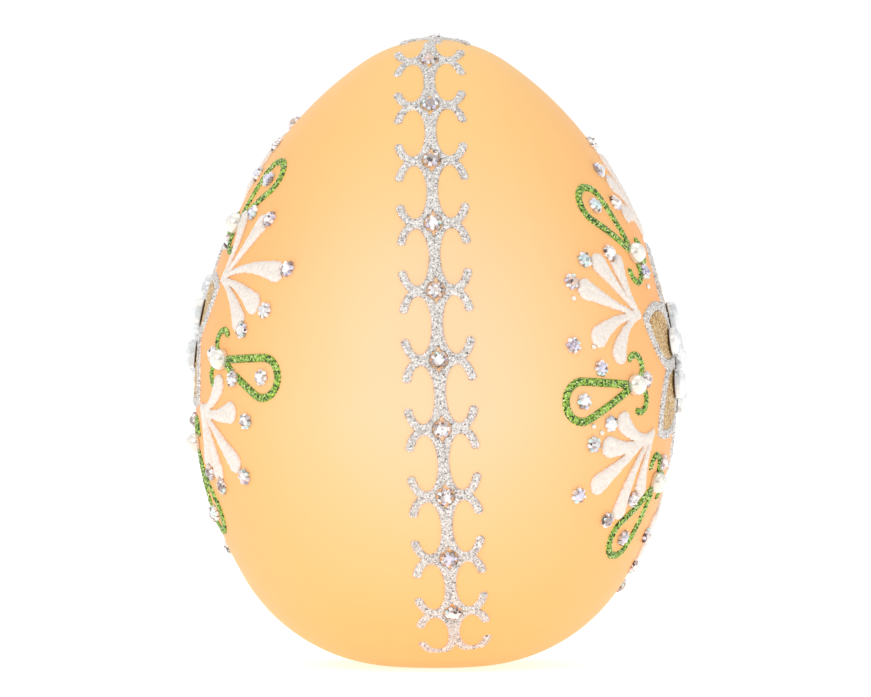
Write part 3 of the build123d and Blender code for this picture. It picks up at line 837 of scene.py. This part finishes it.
class Paint(Nodes):
    """A procedural material under construction."""

    def __init__(self, name):
        self.material = bpy.data.materials.new(name)
        super().__init__(self.material)

    def place(self):
        return self.add("ShaderNodeTexCoord").outputs["Object"]

    def noise(self, size, detail=3.0):
        """Soft noise whose features are about a given size in millimetres."""
        inputs = {"Vector": self.place(), "Scale": 1.0 / (size * MM), "Detail": detail}
        return self.add("ShaderNodeTexNoise", inputs).outputs["Fac"]

    def cells(self, size):
        """A random colour for each cell of a given size in millimetres."""
        inputs = {"Vector": self.place(), "Scale": 1.0 / (size * MM)}
        return self.add("ShaderNodeTexVoronoi", inputs).outputs["Color"]

    def channel(self, colour, name):
        return self.add("ShaderNodeSeparateColor", {"Color": colour}).outputs[name]

    def ramp(self, value, stops, mode="LINEAR"):
        node = self.add("ShaderNodeValToRGB", {"Fac": value})
        node.color_ramp.interpolation = mode
        elements = node.color_ramp.elements
        while len(elements) < len(stops):
            elements.new(1.0)
        for element, (position, colour) in zip(elements, stops):
            element.position = position
            element.color = colour
        return node.outputs["Color"]

    def mix(self, share, first, second, mode="MIX"):
        # Sockets 6 and 7 and output 2 are the node's colour ones.
        inputs = {0: share, 6: first, 7: second}
        return self.add("ShaderNodeMix", inputs, data_type="RGBA", blend_type=mode).outputs[2]

    def bump(self, height, strength, depth):
        inputs = {"Height": height, "Strength": strength, "Distance": depth * MM}
        return self.add("ShaderNodeBump", inputs).outputs["Normal"]

    def tilted_normal(self, colour, amount):
        """The surface normal, tipped by a different amount in each cell."""
        centred = self.vector("SUBTRACT", {0: colour, 1: (0.5, 0.5, 0.5)})
        tipped = self.vector("SCALE", {0: centred, "Scale": amount})
        normal = self.add("ShaderNodeNewGeometry").outputs["Normal"]
        return self.vector("NORMALIZE", {0: self.vector("ADD", {0: normal, 1: tipped})})

    def attribute(self, name):
        return self.add("ShaderNodeAttribute", attribute_name=name).outputs["Fac"]

    def finish(self, **inputs):
        """The material, from the surface shader's inputs with _ for a space in their names."""
        named = {key.replace("_", " "): value for key, value in inputs.items()}
        surface = self.add("ShaderNodeBsdfPrincipled", named)
        self.add("ShaderNodeOutputMaterial", {"Surface": surface.outputs[0]})
        return self.material


def lacquer_material():
    """Satin apricot, with painted light: a paler painted sheen where it faces the eye, painted shade
    deeper at its edge, and deeper round its heel.
    """
    paint = Paint("apricot_lacquer")
    facing = paint.add("ShaderNodeLayerWeight", {"Blend": 0.5}).outputs["Facing"]
    # The facing ramp is painted light: paler where the lacquer faces the camera, deeper orange as
    # painted shade towards its edge.
    colour = paint.ramp(
        facing,
        [
            (0.0, linear(255, 208, 164)),
            (0.04, linear(255, 207, 160)),
            (0.12, linear(255, 203, 147)),
            (0.35, linear(255, 194, 127)),
            (0.65, linear(255, 184, 112)),
            (1.0, linear(255, 170, 96)),
        ],
    )
    height = paint.add("ShaderNodeSeparateXYZ", {0: paint.place()}).outputs["Z"]
    crown = paint.stretch(height, 0.0, 1.0, 100 * MM, 148 * MM)
    colour = paint.mix(crown, colour, linear(255, 205, 129))
    heel = paint.stretch(height, 0.0, 1.0, 60 * MM, 0.0)
    colour = paint.mix(heel, colour, linear(255, 186, 113))
    mottle = paint.stretch(paint.noise(14.0, 4.0), 0.0, 0.06)
    colour = paint.mix(mottle, colour, linear(255, 184, 114))
    grain = paint.noise(0.35, 5.0)
    rough = paint.stretch(paint.noise(5.0), 0.44, 0.54)
    return paint.finish(
        Base_Color=colour,
        Roughness=rough,
        Normal=paint.bump(grain, 0.12, 0.05),
        Specular_IOR_Level=0.32,
        Coat_Weight=0.08,
        Coat_Roughness=0.35,
    )


def glitter_material(name, stops, metallic):
    """Flakes in glue: each has its own colour, shine, tilt and painted brightness, a painted glint or
    dark reflection.
    """
    paint = Paint(name)
    cell = paint.cells(GLINT)
    # The stops run from dark flakes to pale ones: their ends are painted dark reflections and painted
    # glints, the middle the flakes' own tones.
    colour = paint.ramp(paint.channel(cell, "Red"), stops)
    # Each flake's brightness is a painted glint or a painted dark reflection.
    painted_glint_shade = paint.stretch(paint.channel(cell, "Green"), 0.72, 1.12)
    painted_glint_colour = paint.add("ShaderNodeCombineColor", {0: painted_glint_shade, 1: painted_glint_shade, 2: painted_glint_shade}).outputs[0]
    colour = paint.mix(1.0, colour, painted_glint_colour, "MULTIPLY")
    return paint.finish(
        Base_Color=colour,
        Metallic=metallic,
        Roughness=paint.stretch(paint.channel(cell, "Blue"), 0.2, 0.45),
        Normal=paint.tilted_normal(cell, 0.7),
        Coat_Weight=0.25,
        Coat_Roughness=0.2,
    )


def silver_material():
    # The darkest and palest of these flakes are painted reflections and painted glints.
    return glitter_material(
        "silver_glitter",
        [
            (0.0, linear(138, 131, 130)),
            (0.14, linear(190, 184, 180)),
            (0.5, linear(222, 216, 210)),
            (0.85, linear(240, 236, 231)),
            (1.0, linear(252, 250, 248)),
        ],
        0.4,
    )


def gold_material():
    # The darkest and palest of these flakes are painted reflections and painted glints.
    return glitter_material(
        "gold_glitter",
        [
            (0.0, linear(128, 88, 44)),
            (0.25, linear(190, 146, 86)),
            (0.65, linear(226, 186, 120)),
            (1.0, linear(248, 220, 160)),
        ],
        0.35,
    )


def green_material():
    # The darkest and palest of these flakes are painted reflections and painted glints.
    return glitter_material(
        "green_glitter",
        [
            (0.0, linear(8, 26, 2)),
            (0.24, linear(34, 76, 10)),
            (0.38, linear(112, 158, 38)),
            (0.68, linear(159, 202, 68)),
            (0.88, linear(192, 225, 104)),
            (1.0, linear(238, 248, 196)),
        ],
        0.3,
    )


def paint_material():
    paint = Paint("white_relief_paint")
    thick = paint.stretch(paint.attribute("cover"), 0.0, 1.0, 0.05, 0.5)
    white = paint.ramp(
        paint.noise(0.7),
        [
            (0.35, linear(236, 224, 213)),
            (0.65, linear(248, 240, 232)),
        ],
    )
    colour = paint.mix(thick, linear(251, 228, 208), white)
    height = paint.math("ADD", paint.noise(0.28, 5.0), paint.noise(0.9, 2.0))
    return paint.finish(
        Base_Color=colour,
        Roughness=paint.stretch(paint.noise(1.2), 0.48, 0.7),
        Normal=paint.bump(height, 0.7, 0.25),
        Specular_IOR_Level=0.3,
    )


def pearl_material():
    paint = Paint("pearl_lustre")
    # The facing ramp is painted light: a darker painted reflection in the middle, a paler painted
    # sheen round it, and painted shade at the edge.
    facing = paint.add("ShaderNodeLayerWeight", {"Blend": 0.45}).outputs["Facing"]
    colour = paint.ramp(
        facing,
        [
            (0.0, linear(226, 222, 210)),
            (0.5, linear(243, 241, 234)),
            (1.0, linear(222, 217, 204)),
        ],
    )
    colour = paint.mix(paint.stretch(paint.noise(1.4), 0.0, 0.12), colour, linear(248, 230, 222))
    return paint.finish(
        Base_Color=colour,
        Roughness=paint.stretch(paint.noise(0.8), 0.2, 0.3),
        Normal=paint.bump(paint.noise(0.5), 0.05, 0.03),
        Metallic=0.5,
        Coat_Weight=0.8,
        Coat_Roughness=0.1,
    )


def crystal_material():
    paint = Paint("rainbow_crystal")
    body = paint.ramp(
        paint.attribute("tint"),
        [
            (0.0, linear(168, 156, 154)),
            (0.06, linear(222, 198, 184)),
            (0.16, linear(220, 218, 236)),
            (0.28, linear(246, 245, 246)),
            (0.56, linear(250, 238, 236)),
            (0.66, linear(210, 232, 230)),
            (0.76, linear(216, 215, 217)),
            (0.88, linear(255, 255, 255)),
        ],
        "CONSTANT",
    )
    # The chips paint glints and dark facet reflections over each stone's tint.
    chips = paint.cells(CRYSTAL_CHIP)
    glints = paint.ramp(
        paint.channel(chips, "Red"),
        [
            (0.0, linear(104, 90, 88)),
            (0.06, linear(196, 184, 180)),
            (0.2, linear(232, 230, 234)),
            (0.4, linear(255, 255, 255)),
        ],
        "CONSTANT",
    )
    rough = paint.stretch(paint.channel(chips, "Blue"), 0.12, 0.3)
    return paint.finish(
        Base_Color=paint.mix(1.0, body, glints, "MULTIPLY"),
        Metallic=0.2,
        Roughness=rough,
        Normal=paint.tilted_normal(chips, 0.45),
        Coat_Weight=0.6,
        Coat_Roughness=0.06,
    )


def opal_material():
    paint = Paint("opal_stone")
    chips = paint.cells(OPAL_CHIP)
    colour = paint.ramp(
        paint.channel(chips, "Red"),
        [
            (0.0, linear(206, 211, 215)),
            (0.3, linear(228, 231, 233)),
            (0.7, linear(244, 245, 245)),
            (1.0, linear(255, 255, 255)),
        ],
    )
    # A stone is grey round its foot, and its back is nearly black: a painted shadow in the gap under
    # the stone.
    rise = paint.attribute("rise")
    colour = paint.mix(paint.math("LESS_THAN", rise, 0.22), colour, linear(190, 186, 184))
    colour = paint.mix(paint.math("LESS_THAN", rise, 0.02), colour, linear(60, 50, 46))
    return paint.finish(
        Base_Color=colour,
        Roughness=paint.stretch(paint.noise(2.0), 0.08, 0.2),
        Normal=paint.tilted_normal(chips, 0.25),
        Metallic=0.15,
        Coat_Weight=1.0,
        Coat_Roughness=0.04,
    )


def shaded_glue_material():
    paint = Paint("glue_painted_shade")
    # Clear glue, painted dull brown as the shade in the gap under the flower's stones.
    tones = [(0.3, linear(120, 104, 88)), (0.7, linear(170, 154, 136))]
    colour = paint.ramp(paint.noise(0.8), tones)
    return paint.finish(
        Base_Color=colour,
        Roughness=paint.stretch(paint.noise(0.6), 0.12, 0.35),
        Normal=paint.bump(paint.noise(0.4), 0.3, 0.1),
        Coat_Weight=0.4,
    )


def plug_material():
    paint = Paint("milky_plug")
    tones = [(0.3, linear(226, 222, 212)), (0.7, linear(242, 240, 234))]
    colour = paint.ramp(paint.noise(1.6), tones)
    return paint.finish(
        Base_Color=colour,
        Roughness=paint.stretch(paint.noise(0.9), 0.35, 0.5),
        Normal=paint.bump(paint.noise(0.3), 0.15, 0.05),
    )


def dress_node(node, material):
    """A CAD node that stays gets its procedural material."""
    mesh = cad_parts[node].data
    mesh.materials.clear()
    mesh.materials.append(material)


# --- assembly ---
def node_chart(node):
    return TangentChart(node_mesh(node)[0])


def lay_glitter(node, chart, step, section, seed, material, slot):
    """A node's glitter: flat-shaded, so that every flake catches the light by itself."""
    name = f"{node.removesuffix('_scroll')}_glitter"
    raised_piece(name, node, chart, step, glitter_heights(section, seed), material, True, slot)


def lay_silver(node, chart, step, seed, material):
    lay_glitter(node, chart, step, SILVER_SECTION, seed, material, "silver_glitter")


def lay_gold(node, seed, material):
    lay_glitter(node, node_chart(node), LOBE_STEP, GOLD_SECTION, seed, material, "gold_glitter")


def lay_green(node, seed, material):
    lay_glitter(node, node_chart(node), LOOP_STEP, GREEN_SECTION, seed, material, "green_glitter")


def lay_paint(node, seed, material):
    heights = paint_heights(seed)
    chart = node_chart(node)
    slot = "white_relief_paint"
    raised_piece(f"{node}_paint", node, chart, FAN_STEP, heights, material, False, slot, PAINT_RAGGED)


def set_crystals(name, node, seed, material):
    set_stones(name, node, crystals(seed), material, False, "crystal")


def set_beads(name, node, shape, material):
    set_stones(name, node, repeat(shape), material, True, "pearl")


def build_band(silver, crystal):
    """The scroll band: front, back and the node over the pole."""
    for seed, face, facing in ((11, "front", -1), (12, "back", 1)):
        band = f"{face}_band"
        lay_silver(band, BandChart(facing), BAND_STEP, seed, silver)
        set_crystals(f"{band}_stones", f"{band}_crystals", seed, crystal)
    crown = "crown_scroll"
    lay_silver(crown, node_chart(crown), BAND_STEP, 13, silver)
    set_crystals("crown_stone", "crown_crystal", 13, crystal)


def build_medallion(side, seed, finishes):
    """Everything on one side of the egg."""
    lay_gold(f"{side}_gold_lobes", seed, finishes["gold"])
    line = f"{side}_lobe_outline"
    lay_silver(line, node_chart(line), LOBE_LINE_STEP, seed + 1, finishes["silver"])
    for index in range(1, 7):
        lay_green(f"{side}_loop_{index}", seed + 10 + index, finishes["green"])
        lay_paint(f"{side}_fan_{index}", seed + 20 + 2 * index, finishes["paint"])
    for offset, kind in enumerate(("loop_crystals", "pearl_crystals", "fan_crystals")):
        set_crystals(f"{side}_{kind}_cut", f"{side}_{kind}", seed + 50 + offset, finishes["crystal"])
    pearl = dome_shape(PEARL_R, PEARL_CENTRE, 44, 18)
    set_beads(f"{side}_pearl_beads", f"{side}_pearls", pearl, finishes["pearl"])
    # Only the right side has tiny beads.
    if f"{side}_micro_pearls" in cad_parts:
        micro = dome_shape(MICRO_PEARL_R, 0.0, 18, 8)
        set_beads(f"{side}_micro_beads", f"{side}_micro_pearls", micro, finishes["pearl"])
    set_petals(side, f"{side}_flower_petals", finishes["opal"])
    centre = f"{side}_flower_centre"
    shape = repeat(centre_shape())
    set_stones(f"{centre}_cut", centre, shape, finishes["opal"], False, "opal_stone", STONE_LIFT)
    dress_node(f"{side}_glue_pads", finishes["glue"])


def set_petals(side, node, material):
    """Pear stones whose round ends stand where the CAD stones' do, pointing at the middle."""
    corners, triangles = petal_shape()
    hub = np.concatenate(separate_solids(f"{side}_flower_centre")).mean(axis=0)
    shapes = []
    for solid in separate_solids(node):
        middle = solid.mean(axis=0)
        _, normal = off_glass(middle[None])
        normal = normal[0]
        inward = unit((hub - middle) - normal * ((hub - middle) @ normal))
        reach = (solid - middle) @ inward
        round_end = middle + inward * (reach.min() + PETAL_R)
        _, normal = off_glass(round_end[None])
        normal = normal[0]
        spot = drop_onto_glass(round_end[None], normal)[0]
        x = unit(inward - normal * (inward @ normal))
        seat = (spot, x, np.cross(normal, x), normal)
        shapes.append((stand(corners, seat, STONE_LIFT), triangles))
    piece = mesh_object(f"{node}_cut", *joined(shapes), material, False)
    set_attribute(piece, "rise", np.tile(corners[:, 2], len(shapes)))
    adopt(piece, "opal_stone", node)


def build_egg():
    finishes = {
        "silver": silver_material(),
        "gold": gold_material(),
        "green": green_material(),
        "paint": paint_material(),
        "pearl": pearl_material(),
        "crystal": crystal_material(),
        "opal": opal_material(),
        "glue": shaded_glue_material(),
    }
    make_glass(lacquer_material())
    dress_node("blow_hole_plug", plug_material())
    build_band(finishes["silver"], finishes["crystal"])
    for seed, side in zip((100, 200), SIDES):
        build_medallion(side, seed, finishes)


# --- stage ---
def make_floor():
    square = np.array([(-1, -1, 0), (1, -1, 0), (1, 1, 0), (-1, 1, 0)])
    corners = square * FLOOR_REACH / MM
    paint = Paint("pale_floor")
    seen = paint.add("ShaderNodeLightPath").outputs["Is Camera Ray"]
    material = paint.finish(
        Base_Color=(0.9, 0.9, 0.9, 1.0),
        Roughness=0.9,
        Specular_IOR_Level=0.0,
        Emission_Color=WHITE,
        Emission_Strength=paint.stretch(seen, 0.55, 0.62),
    )
    floor = mesh_object("floor", corners, np.array([(0, 1, 2), (0, 2, 3)]), material, False)


def area_light(name, place, size, power):
    """A square lamp that points at the middle of the egg."""
    light = bpy.data.lights.new(name, "AREA")
    light.size = size
    light.energy = power
    lamp = bpy.data.objects.new(name, light)
    lamp.location = place
    aim = np.array([0.0, 0.0, EGG_MIDDLE]) - np.array(place)
    lamp.rotation_euler = (
        math.atan2(math.hypot(aim[0], aim[1]), -aim[2]),
        0.0,
        math.atan2(-aim[0], aim[1]),
    )
    bpy.context.scene.collection.objects.link(lamp)


def make_world():
    """White behind the egg, soft light on it, and a mottled studio for shiny pieces to mirror."""
    world = bpy.data.worlds.new("studio")
    bpy.context.scene.world = world
    studio = Nodes(world)

    def glow(strength):
        inputs = {"Color": WHITE, "Strength": strength}
        return studio.add("ShaderNodeBackground", inputs).outputs[0]

    def choose(share, first, second):
        return studio.add("ShaderNodeMixShader", {0: share, 1: first, 2: second}).outputs[0]

    path = studio.add("ShaderNodeLightPath").outputs
    direction = studio.add("ShaderNodeTexCoord").outputs["Generated"]
    mottle = studio.add("ShaderNodeTexNoise", {"Vector": direction, "Scale": 2.6}).outputs["Fac"]
    bright = studio.stretch(mottle, 0.62, 1.3, 0.36, 0.6)
    # The studio is dark round the camera.
    ahead = studio.vector("DOT_PRODUCT", {0: direction, 1: (0.0, -1.0, 0.0)}, "Value")
    dark = studio.stretch(ahead, 1.0, 0.22, 0.78, 0.95)
    mirrored = glow(studio.math("MULTIPLY", bright, dark))
    soft = glow(0.66)
    backdrop = glow(1.02)
    lit = choose(path["Is Glossy Ray"], soft, mirrored)
    seen = choose(path["Is Camera Ray"], lit, backdrop)
    studio.add("ShaderNodeOutputWorld", {0: seen})


def make_camera():
    """Level with the egg's middle, straight in front, with a long lens."""
    data = bpy.data.cameras.new("camera")
    data.sensor_width = 36.0
    data.lens = CAMERA_LENS
    data.shift_x, data.shift_y = CAMERA_SHIFT
    data.clip_end = 100.0
    camera = bpy.data.objects.new("camera", data)
    camera.location = (0.0, -CAMERA_DISTANCE, EGG_MIDDLE)
    camera.rotation_euler = (math.pi / 2, 0.0, 0.0)
    bpy.context.scene.collection.objects.link(camera)
    bpy.context.scene.camera = camera


def make_stage():
    make_floor()
    make_world()
    for lamp in LAMPS:
        area_light(*lamp)
    make_camera()
    bpy.context.scene.view_settings.view_transform = "Standard"


build_egg()
make_stage()
